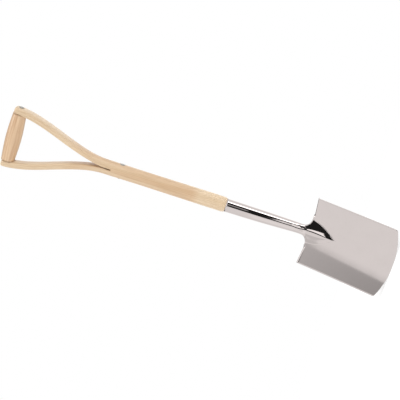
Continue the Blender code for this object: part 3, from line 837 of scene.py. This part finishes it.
class SPADE_OT_head(bpy.types.Operator):
    """Press the socket, the frog, the blade and the treads from one sheet"""

    bl_idname = "spade.head"
    bl_label = "Head"

    def execute(self, context):
        piece = new_piece("stainless_head", head_surface(), SHARP_SHEET, steel_material(context),
                          "blade_head", closed=False)
        share = np.round(ground_weight(piece.data), 2)
        group = piece.vertex_groups.new(name="thickness")
        for value in np.unique(share):
            group.add(np.flatnonzero(share == value).tolist(), float(value), "REPLACE")
        solid = piece.modifiers.new("sheet", "SOLIDIFY")
        solid.thickness = SHEET
        solid.offset = -1.0
        solid.use_quality_normals = True
        solid.vertex_group = "thickness"
        carve(piece, cylinder(SOCKET_RIVET_RADIUS + GAP, SOCKET_WALL_FRONT, SOCKET_BORE_START,
                              "Y", SOCKET_RIVET_Z))
        piece.modifiers.clear()
        return {"FINISHED"}


# Fastenings

def dome(height, radius):
    """Quarter ellipse of a rivet's head, from its tip on the axis to its rim."""
    angle = np.linspace(0.0, math.pi / 2, DOME_STEPS + 1)
    return columns(height * np.cos(angle), radius * np.sin(angle))


def through_rivet_outline(seat_x):
    """A shank with a domed head closed over at each end."""
    half_length = seat_x + WASHER_THICKNESS + 2 * GAP
    right = np.concatenate((dome(ROD_HEAD_HEIGHT, ROD_HEAD_RADIUS) + (half_length, 0.0),
                            [(half_length, ROD_RADIUS)]))
    return np.concatenate((right, right[::-1] * (-1.0, 1.0)))


def socket_rivet_outline():
    """A pointed shank driven in from the back, with a domed head."""
    surface = float(socket_radius(SOCKET_RIVET_Z) + socket_center(SOCKET_RIVET_Z)) + GAP
    shank = [(surface, SOCKET_RIVET_RADIUS),
             (surface - SOCKET_RIVET_LENGTH + SOCKET_RIVET_POINT, SOCKET_RIVET_RADIUS),
             (surface - SOCKET_RIVET_LENGTH, 0.0)]
    return np.concatenate((dome(ROD_HEAD_HEIGHT, SOCKET_RIVET_HEAD) + (surface, 0.0), shank))


def washer_outline(seat_x):
    """A flat ring with its outer edge broken, closed on itself."""
    near = seat_x + GAP
    far = near + WASHER_THICKNESS
    hole = ROD_RADIUS + GAP
    return [(near, hole), (near, WASHER_RADIUS), (far - WASHER_EDGE, WASHER_RADIUS),
            (far, WASHER_RADIUS - WASHER_EDGE), (far, hole), (near, hole)]


class SPADE_OT_rivets(bpy.types.Operator):
    """Turn the grip's rod, the throat rivet and the socket rivet"""

    bl_idname = "spade.rivets"
    bl_label = "Rod and rivets"

    def execute(self, context):
        material = bpy.data.materials.get(FASTENING_SLOT)
        for node, outline, axis, height in (
                ("grip_rod", through_rivet_outline(GRIP_WASHER_X), "X", GRIP_Z),
                ("throat_rivet", through_rivet_outline(THROAT_WASHER_X), "X", THROAT_Z),
                ("socket_rivet", socket_rivet_outline(), "Y", SOCKET_RIVET_Z)):
            new_piece(node + "_steel", turned(outline, axis, height), SHARP_ROUND, material,
                      node)
        return {"FINISHED"}


class SPADE_OT_washers(bpy.types.Operator):
    """Turn the four washers"""

    bl_idname = "spade.washers"
    bl_label = "Washers"

    def execute(self, context):
        material = bpy.data.materials.get(FASTENING_SLOT)
        for place, seat_x, height in (("grip", GRIP_WASHER_X, GRIP_Z),
                                      ("throat", THROAT_WASHER_X, THROAT_Z)):
            ring = turned(washer_outline(seat_x), "X", height)
            for side, surface in (("right", ring), ("left", mirrored(ring))):
                node = place + "_washer_" + side
                new_piece(node + "_steel", surface, SHARP_FLAT, material, node)
        return {"FINISHED"}


# Materials

def new_material(name, values):
    """A material whose shader has these values on its own sockets, and its shader."""
    material = bpy.data.materials.new(name)
    material.use_nodes = True
    shader = material.node_tree.nodes["Principled BSDF"]
    for socket, value in values.items():
        shader.inputs[socket].default_value = value
    return material, shader


class NodeMaker:
    """Adds nodes to a tree and links what is given to their inputs."""

    def __init__(self, tree):
        self.tree = tree
        self.measures = {}

    def add(self, kind, inputs=None, **settings):
        node = self.tree.nodes.new(kind)
        for name, value in settings.items():
            setattr(node, name, value)
        for name, value in (inputs or {}).items():
            self.put(node.inputs[name], value)
        return node

    def put(self, socket, value):
        if isinstance(value, bpy.types.NodeSocket):
            self.tree.links.new(value, socket)
        else:
            socket.default_value = value

    def math(self, operation, *values):
        node = self.add("ShaderNodeMath", operation=operation)
        for socket, value in zip(node.inputs, values):
            self.put(socket, value)
        return node.outputs[0]

    def total(self, first, *others):
        for value in others:
            first = self.math("ADD", first, value)
        return first

    def product(self, first, *others):
        for value in others:
            first = self.math("MULTIPLY", first, value)
        return first

    def distance(self, first, second):
        """The root of the sum of the two squares."""
        squares = self.total(self.product(first, first), self.product(second, second))
        return self.math("SQRT", squares)

    def parts(self, vector):
        return self.add("ShaderNodeSeparateXYZ", {"Vector": vector}).outputs

    def between(self, value, low, high):
        """A smooth step, 0 at the first number and 1 at the second, which may be the lower."""
        node = self.add("ShaderNodeMapRange", {"Value": value, "From Min": low, "From Max": high},
                        interpolation_type="SMOOTHSTEP")
        return node.outputs["Result"]

    def zone(self, amount, *edges):
        """An amount times a smooth step of each named measure between its two levels."""
        for name, low, high in edges:
            amount = self.product(self.between(self.measures[name], low, high), amount)
        return amount

    def zones(self, table):
        """The sum of the zones of a table."""
        return self.total(*(self.zone(*row) for row in table))

    def mix(self, factor, first, second, blend="MIX"):
        node = self.add("ShaderNodeMix", data_type="RGBA", blend_type=blend)
        for number, value in ((0, factor), (6, first), (7, second)):
            self.put(node.inputs[number], value)
        return node.outputs[2]

    def stretched(self, vector, scale):
        node = self.add("ShaderNodeVectorMath", {0: vector, 1: scale}, operation="MULTIPLY")
        return node.outputs[0]

    def noise(self, vector, scale, detail=2.0, roughness=0.5):
        node = self.add("ShaderNodeTexNoise", {
            "Vector": vector, "Scale": scale, "Detail": detail, "Roughness": roughness})
        return node.outputs["Fac"]


def new_group(name, **inputs):
    """A shader node group that puts out a colour, a roughness and a height.

    Gives back the group, its maker and its inputs, whose kinds are listed by their names.
    """
    group = bpy.data.node_groups.new(name, "ShaderNodeTree")
    outputs = {"Color": "Color", "Roughness": "Float", "Height": "Float"}
    for direction, sockets in (("INPUT", inputs), ("OUTPUT", outputs)):
        for socket, kind in sockets.items():
            group.interface.new_socket(socket, in_out=direction, socket_type="NodeSocket" + kind)
    make = NodeMaker(group)
    return group, make, make.add("NodeGroupInput").outputs


def wood_grain_group(name):
    """Straight-grained ash: growth rings about a far-off pith, pores, and slow changes of tone.

    Warmth reddens long soft streaks of it, and Stain darkens it towards brown: partly stain,
    partly painted shade in slits and joints.
    """
    group, make, source = new_group(
        name, Place="Vector", Light="Color", Dark="Color", Spacing="Float", Contrast="Float",
        Warmth="Float", Stain="Float", Roughness="Float")
    place = source["Place"]
    between, times, plus = make.between, make.product, make.total
    drift = make.noise(make.stretched(place, RING_DRIFT_SCALE), 1.0, RING_DRIFT_DETAIL)
    parts = make.parts(place)
    distance = make.distance(plus(parts["X"], -PITH[0]), plus(parts["Y"], -PITH[1]))
    distance = plus(distance, times(drift, RING_DRIFT))
    ring = make.math("FRACT", make.math("DIVIDE", distance, source["Spacing"]))
    noises, bands = {}, {}
    for name, (scale, detail, roughness, levels) in WOOD_PATTERNS.items():
        noises[name] = make.noise(make.stretched(place, scale), 1.0, detail, roughness)
        bands[name] = between(noises[name], *levels)
    bands["early"] = times(between(ring, *EARLY_START), between(ring, *EARLY_END))
    porous = plus(times(bands["early"], 1.0 - LATE_PORES), LATE_PORES)
    bands["pores"] = pore = times(bands["pores"], porous)
    tone = plus(*(times(bands[name], share) for name, share in WOOD_TONES.items()))
    tone = make.math("MINIMUM", times(tone, source["Contrast"]), 1.0)
    color = make.mix(tone, source["Light"], source["Dark"])
    streaks = plus(WARM_EVERYWHERE, times(bands["soft"], WARM_STREAKS))
    color = make.mix(times(source["Warmth"], streaks), color, WARM_TINT, "MULTIPLY")
    make.add("NodeGroupOutput", {
        # The brown mixed in here is stain and also painted shade in slits and joints
        "Color": make.mix(source["Stain"], color, STAIN_AND_SHADE_COLOR),
        "Roughness": plus(source["Roughness"], times(pore, PORE_ROUGHNESS),
                          times(source["Stain"], STAIN_AND_SHADE_ROUGHNESS)),
        "Height": make.math("SUBTRACT", times(noises["fibre"], FIBRE_HEIGHT), pore)})
    return group


def steel_wear_group(name):
    """Polishing marks: fine lines along one direction, faint cloudiness and a shallow waviness."""
    group, make, source = new_group(
        name, Place="Vector", Color="Color", Roughness="Float", Marks="Float", Dull="Float")
    place, times, plus = source["Place"], make.product, make.total
    lines = make.noise(make.stretched(place, MARK_SCALE), 1.0, *MARK_DETAIL)
    cloud = make.noise(place, CLOUD_SCALE, *CLOUD_DETAIL)
    marks = plus(make.between(lines, *MARK_LEVELS), make.between(cloud, *CLOUD_ROUGHNESS))
    dim = times(make.between(cloud, *CLOUD_DULLNESS), source["Dull"])
    make.add("NodeGroupOutput", {
        "Color": make.mix(dim, source["Color"], DULL_TINT, "MULTIPLY"),
        "Roughness": plus(source["Roughness"], times(marks, source["Marks"])),
        "Height": plus(times(lines, MARK_HEIGHT), make.noise(place, WAVE_SCALE, 1.0))})
    return group


def with_group(material, shader, name, build, values, bump):
    """Place a group in a material and lead its colour, roughness and height to the shader."""
    make = NodeMaker(material.node_tree)
    group = bpy.data.node_groups.get(name) or build(name)
    node = make.add("ShaderNodeGroup", values(make), node_tree=group)
    relief = make.add("ShaderNodeBump", {"Strength": bump[0], "Distance": bump[1],
                                         "Height": node.outputs["Height"]})
    make.put(shader.inputs["Base Color"], node.outputs["Color"])
    make.put(shader.inputs["Roughness"], node.outputs["Roughness"])
    make.put(shader.inputs["Normal"], relief.outputs["Normal"])


def wood_material(context, wood, masks, contrast, rings, coat, coat_roughness):
    """Varnished ash: the grain under a clear coat, with masks for its warmth, and for its stains
    and the painted shade at its joints.
    """
    scene = context.scene
    light, dark = (getattr(scene.spade_colors, wood + tone) for tone in ("_light", "_dark"))
    material, shader = new_material("varnished_" + wood, {
        "Roughness": WOOD_ROUGHNESS, "IOR": WOOD_IOR, "Coat Weight": coat,
        "Coat Roughness": coat_roughness, "Coat IOR": VARNISH_IOR})

    def values(make):
        place = make.add("ShaderNodeAttribute", attribute_name="grain").outputs["Vector"]
        return {"Place": place, "Light": (*light, 1.0), "Dark": (*dark, 1.0),
                "Spacing": scene.spade_sizes.ring_spacing * rings, "Contrast": contrast,
                "Roughness": WOOD_ROUGHNESS, **masks(make, make.parts(place))}

    with_group(material, shader, "wood grain", wood_grain_group, values, WOOD_BUMP)
    return material


def ash_masks(make, parts):
    """The pole is warmer about the throat, and darkened brown at the kerf's end and the grip's
    seats: partly stain, partly painted shade in the slit and the joints.
    """
    make.measures = {"side": make.math("ABSOLUTE", parts["X"]), "z": parts["Z"],
                     "ring": make.distance(make.total(parts["Z"], -GRIP_Z), parts["Y"])}
    stain_and_shade = make.math("MAXIMUM", make.zone(*KERF_STAIN_AND_SHADE), make.zone(*SEAT_STAIN_AND_SHADE))
    return {"Warmth": make.total(ASH_WARMTH, make.zone(*WARM_ZONE)), "Stain": stain_and_shade}


def grip_masks(make, parts):
    """The barrel is warm all over, and darkened brown at its two ends: partly stain, partly
    painted shade where they sit in the arms.
    """
    make.measures = {"end": make.math("ABSOLUTE", parts["Z"])}
    return {"Warmth": GRIP_WARMTH, "Stain": make.zone(*GRIP_END_STAIN_AND_SHADE)}


def steel_material(context):
    """Mirror-polished stainless steel, its fine polishing marks read at its places."""
    color = context.scene.spade_colors.steel
    material, shader = new_material("polished_stainless", {
        "Roughness": POLISH["Roughness"], "Metallic": 1.0})
    with_group(material, shader, "steel wear", steel_wear_group, lambda make: {
        "Place": make.add("ShaderNodeTexCoord").outputs["Object"], "Color": (*color, 1.0),
        **POLISH}, POLISH_BUMP)
    return material


# Stage

def ramp(make, value, stops):
    """Brightness along a value from 0 to 1, in straight runs between its stops."""
    node = make.add("ShaderNodeValToRGB", {"Fac": value})
    elements = node.color_ramp.elements
    elements[0].position, elements[1].position = stops[0][0], stops[-1][0]
    for position, level in stops[1:-1]:
        elements.new(position)
    for element, (position, level) in zip(elements, stops):
        element.color = (level, level, level, 1.0)
    return node.outputs["Color"]


def studio_light(scene):
    """White all round, with dark panels that the polished head reflects.

    The bearing is measured round from the front, and the height is the angle above level.
    A dark panel stands to the right, its far edge leaning, with bright gaps in it. A grey
    panel hangs to the left of it, and two faint ones further round. The light is dimmer
    behind, beside and under the spade, and brighter in a strip at the right and overhead.
    """
    world = bpy.data.worlds.new("studio")
    scene.world = world
    world.use_nodes = True
    make = NodeMaker(world.node_tree)
    between, times, plus = make.between, make.product, make.total
    parts = make.parts(make.add("ShaderNodeTexCoord").outputs["Generated"])
    bearing = make.math("DEGREES", make.math("ARCTAN2", parts["X"], times(parts["Y"], -1.0)))
    height = make.math("DEGREES", make.math("ARCSINE", parts["Z"]))
    share = make.math("DIVIDE", plus(bearing, 180.0), 360.0)
    side = ramp(make, share, [((stop + 180.0) / 360.0, light) for stop, light in SIDE_LIGHT])
    above_grey = plus(height, -GREY_HEIGHT)
    corner = times(make.math("MAXIMUM", times(above_grey, -1.0), 0.0), GREY_CORNER,
                   between(bearing, *GREY_CORNER_EDGE))
    make.measures = {
        "bearing": bearing,
        "height": height,
        "steep": make.math("ABSOLUTE", height),
        "turned": make.math("ABSOLUTE", plus(bearing, -CAMERA_BEARING)),
        "lean": plus(bearing, times(make.math("MAXIMUM", height, 0.0), PANEL_LEAN)),
        "slope": plus(bearing, times(height, FLANK_SLOPE)),
        "tilt": plus(bearing, times(above_grey, GREY_TILT), corner),
    }

    start = plus(PANEL_START, times(between(height, *PANEL_LEVEL), -PANEL_START),
                 times(between(height, *PANEL_FOOT), PANEL_STEP))
    dark = make.zone(make.math("GREATER_THAN", bearing, start), *PANEL_EDGES)
    panel = plus(PANEL_LIGHT, make.zones(PANEL_GAPS))

    tone = plus(GREY_INNER_TONE, times(above_grey, GREY_INNER_RISE))
    grey = make.zone(plus(make.zone(*GREY_OUTER), make.zone(tone, GREY_INNER_EDGE)), *GREY_EDGES)
    grey = plus(grey, make.zones(FAINT_PANELS))
    side = times(side, make.math("SUBTRACT", 1.0, grey),
                 make.math("SUBTRACT", 1.0, make.zones(DIMMER)),
                 plus(1.0, make.zones(BRIGHTER)))

    light = make.stretched(make.mix(dark, side, panel), (STUDIO_STRENGTH,) * 3)
    camera_ray = make.add("ShaderNodeLightPath").outputs["Is Camera Ray"]
    background = world.node_tree.nodes["Background"]
    make.put(background.inputs["Color"], make.mix(camera_ray, light, (1.0, 1.0, 1.0, 1.0)))


def photograph_camera(scene):
    """A camera on a sphere about the target, rolled so that the shaft lies across the picture."""
    a, e, roll = CAMERA_AZIMUTH, CAMERA_ELEVATION, CAMERA_ROLL
    toward = Vector((math.sin(a) * math.cos(e), -math.cos(a) * math.cos(e), math.sin(e)))
    right = Vector((math.cos(a), math.sin(a), 0.0))
    up = Vector((-math.sin(a) * math.sin(e), math.cos(a) * math.sin(e), math.cos(e)))
    x_axis = -math.cos(roll) * up + math.sin(roll) * right
    y_axis = math.sin(roll) * up + math.cos(roll) * right
    matrix = Matrix((x_axis, y_axis, toward)).transposed().to_4x4()
    matrix.translation = Vector(CAMERA_TARGET) + toward * CAMERA_DISTANCE
    data = bpy.data.cameras.new("photograph")
    data.lens = CAMERA_LENS
    data.sensor_width = CAMERA_SENSOR
    camera = new_object("photograph", data)
    camera.matrix_world = matrix
    scene.camera = camera


class SPADE_OT_stage(bpy.types.Operator):
    """Lay the pale floor and set up the studio light and the camera"""

    bl_idname = "spade.stage"
    bl_label = "Stage"

    def execute(self, context):
        scene = context.scene
        color = scene.spade_colors.floor
        half = scene.spade_sizes.floor_width / 2
        side = np.array((-half, half))
        sheet = grid(columns(side, side[:, None], FRAME_BOUNDS[0][2] - FLOOR_DROP))
        mesh = mesh_from_surface("floor", sheet, SHARP_FLAT, closed=False)
        mesh.materials.append(new_material("pale_floor", {
            "Base Color": (*(FLOOR_SHADE * v for v in color), 1.0),
            "Emission Color": (*color, 1.0), "Emission Strength": FLOOR_GLOW,
            "Roughness": FLOOR_ROUGHNESS, "Specular IOR Level": 0.0})[0])
        floor = new_object("floor", mesh)
        studio_light(scene)
        photograph_camera(scene)
        scene.view_settings.view_transform = "Standard"
        return {"FINISHED"}


class SPADE_PT_panel(bpy.types.Panel):
    """Lists the spade's sizes and colours and the operators that build it"""

    bl_idname = "SPADE_PT_panel"
    bl_label = "Digging Spade"
    bl_space_type = "VIEW_3D"
    bl_region_type = "UI"
    bl_category = "Spade"

    def draw(self, context):
        for settings in (context.scene.spade_sizes, context.scene.spade_colors):
            for name in type(settings).__annotations__:
                self.layout.prop(settings, name)
        for operator in OPERATORS:
            self.layout.operator(operator.bl_idname)


OPERATORS = (SPADE_OT_head, SPADE_OT_shaft, SPADE_OT_grip, SPADE_OT_rivets, SPADE_OT_washers,
             SPADE_OT_stage)
CLASSES = (SpadeSizes, SpadeColors, *OPERATORS, SPADE_PT_panel)


def register():
    for item in CLASSES:
        bpy.utils.register_class(item)
    bpy.types.Scene.spade_sizes = bpy.props.PointerProperty(type=SpadeSizes)
    bpy.types.Scene.spade_colors = bpy.props.PointerProperty(type=SpadeColors)


def unregister():
    del bpy.types.Scene.spade_colors
    del bpy.types.Scene.spade_sizes
    for item in reversed(CLASSES):
        bpy.utils.unregister_class(item)


def main():
    register()
    bpy.ops.spade.head()
    bpy.ops.spade.shaft()
    bpy.ops.spade.grip()
    bpy.ops.spade.rivets()
    bpy.ops.spade.washers()
    bpy.ops.spade.stage()


if __name__ == "__main__":
    main()
